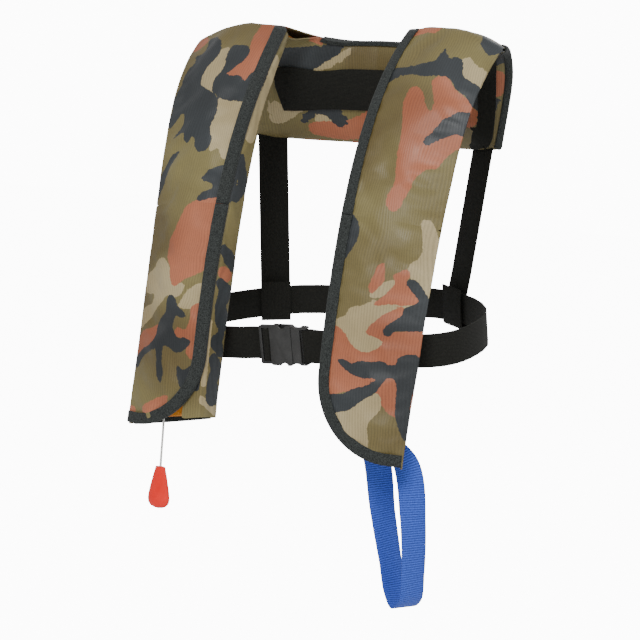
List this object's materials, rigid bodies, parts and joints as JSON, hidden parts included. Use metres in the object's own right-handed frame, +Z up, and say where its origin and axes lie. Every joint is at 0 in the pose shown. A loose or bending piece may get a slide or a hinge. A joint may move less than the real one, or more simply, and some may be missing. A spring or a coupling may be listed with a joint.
{
  "type": "inflatable life jacket",
  "caption": "Yoke-shaped inflatable life jacket with camouflage cover, waist belt and side-release buckle, manual gas inflator, oral tube and lifting loop.",
  "frame": {"origin": "midway between the two shoulder peaks, on the line over the wearer's shoulders", "axes": "+X towards the wearer's left, +Y towards the wearer's back, +Z up; the front with the buckle faces -Y"},
  "size_m": [0.4192, 0.2876, 0.647],
  "materials": {
    "cover_fabric": "woven camouflage, satin",
    "binding_tape": "matt grosgrain",
    "bladder_fabric": "coated nylon",
    "touch_tape": "hook and loop",
    "black_webbing": "woven webbing",
    "elastic": "woven elastic",
    "black_plastic": "moulded",
    "rubber_washer": "smooth",
    "grey_plastic": "moulded",
    "steel": "brushed",
    "green_plastic": "moulded",
    "white_cord": "braided",
    "red_plastic": "moulded",
    "blue_webbing": "ribbed webbing",
    "flange_plastic": "welded flange"
  },
  "bodies": {
    "yoke": {"collar_outer": "cover_fabric", "front_upper_right": "cover_fabric", "front_upper_left": "cover_fabric", "back_panel_right": "cover_fabric", "back_panel_left": "cover_fabric", "collar_inner": "cover_fabric", "neck_binding": "binding_tape", "upper_binding_right": "binding_tape", "upper_binding_left": "binding_tape", "hem_binding_right": "binding_tape", "hem_binding_left": "binding_tape", "bladder_collar": "bladder_fabric", "bladder_right": "bladder_fabric", "bladder_left": "bladder_fabric", "loop_tape_right": "touch_tape", "loop_tape_left": "touch_tape", "yoke_webbing": "black_webbing", "belt_main": "black_webbing", "belt_loop_left": "black_webbing", "belt_loop_right": "black_webbing", "back_strap_right": "black_webbing", "back_strap_left": "black_webbing", "strap_extension": "black_webbing", "whistle_band": "elastic", "buckle_socket": "black_plastic", "inflator_body": "black_plastic", "oral_tube": "black_plastic", "oral_valve": "black_plastic", "cylinder_washer": "rubber_washer", "lever_pin": "steel", "manifold_stem": "steel", "manifold_nut": "steel", "status_clip": "green_plastic", "whistle": "red_plastic", "lift_loop": "blue_webbing", "oral_flange": "flange_plastic"},
    "flap_right": {"flap_right": "cover_fabric", "flap_binding_right": "binding_tape", "hook_tape_right": "touch_tape"},
    "flap_left": {"flap_left": "cover_fabric", "flap_binding_left": "binding_tape", "hook_tape_left": "touch_tape"},
    "lever": {"inflator_lever": "grey_plastic"},
    "pull": {"pull_cord": "white_cord", "pull_handle": "red_plastic"},
    "pierce_pin": {"pierce_pin": "steel"},
    "gas_cylinder": {"gas_cylinder": "steel"},
    "plug": {"buckle_plug": "black_plastic", "belt_plug_webbing": "black_webbing"},
    "prong_upper": {"prong_upper": "black_plastic"},
    "prong_lower": {"prong_lower": "black_plastic"},
    "tail_keeper": {"tail_keeper": "elastic"},
    "valve_plunger": {"valve_plunger": "red_plastic"},
    "dust_cap": {"dust_cap": "red_plastic"}
  },
  "joints": [
    {"name": "flap_right_hinge", "type": "hinge", "parent": "yoke", "child": "flap_right", "pos_m": [-0.1862, -0.1163, -0.225], "axis": [0.0232, -0.168, -0.9855], "range_deg": [0, 100]},
    {"name": "flap_left_hinge", "type": "hinge", "parent": "yoke", "child": "flap_left", "pos_m": [0.1862, -0.1163, -0.225], "axis": [0.0232, 0.168, 0.9855], "range_deg": [0, 100]},
    {"name": "lever_hinge", "type": "hinge", "parent": "yoke", "child": "lever", "pos_m": [-0.11582, -0.14904, -0.42854], "axis": [-0.18, -0.9768, 0.116], "range_deg": [0, 90]},
    {"name": "pull_slide", "type": "slide", "parent": "yoke", "child": "pull", "axis": [0, 0, -1], "range_m": [0, 0.0325]},
    {"name": "pierce_slide", "type": "slide", "parent": "yoke", "child": "pierce_pin", "axis": [-0.0077, 0.1194, 0.9928], "range_m": [0, 0.0041]},
    {"name": "cylinder_turn", "type": "hinge", "parent": "yoke", "child": "gas_cylinder", "pos_m": [-0.11147, -0.14109, -0.35493], "axis": [-0.0077, 0.1194, 0.9928], "continuous": true},
    {"name": "plug_slide", "type": "slide", "parent": "yoke", "child": "plug", "axis": [0.9972, 0, 0.0748], "range_m": [0, 0.027]},
    {"name": "prong_upper_flex", "type": "hinge", "parent": "plug", "child": "prong_upper", "pos_m": [0.01061, -0.11033, -0.3591], "axis": [0.0138, -0.9829, -0.1837], "range_deg": [0, 8]},
    {"name": "prong_lower_flex", "type": "hinge", "parent": "plug", "child": "prong_lower", "pos_m": [0.01237, -0.1059, -0.38263], "axis": [-0.0138, 0.9829, 0.1837], "range_deg": [0, 8]},
    {"name": "keeper_slide", "type": "slide", "parent": "plug", "child": "tail_keeper", "axis": [0.9972, 0, 0.0748], "range_m": [-0.001, 0.012]},
    {"name": "plunger_slide", "type": "slide", "parent": "yoke", "child": "valve_plunger", "axis": [-0.0082, -0.1226, -0.9924], "range_m": [0, 0.0025], "stiffness_N_per_m": 200},
    {"name": "dust_cap_slide", "type": "slide", "parent": "yoke", "child": "dust_cap", "axis": [0.0082, 0.1226, 0.9924], "range_m": [0, 0.015]}
  ],
  "couplings": [
    {"joint": "lever_hinge", "follows": "pull_slide", "rad_per_m": 48.3},
    {"joint": "pierce_slide", "follows": "pull_slide", "ratio": 0.1232}
  ]
}
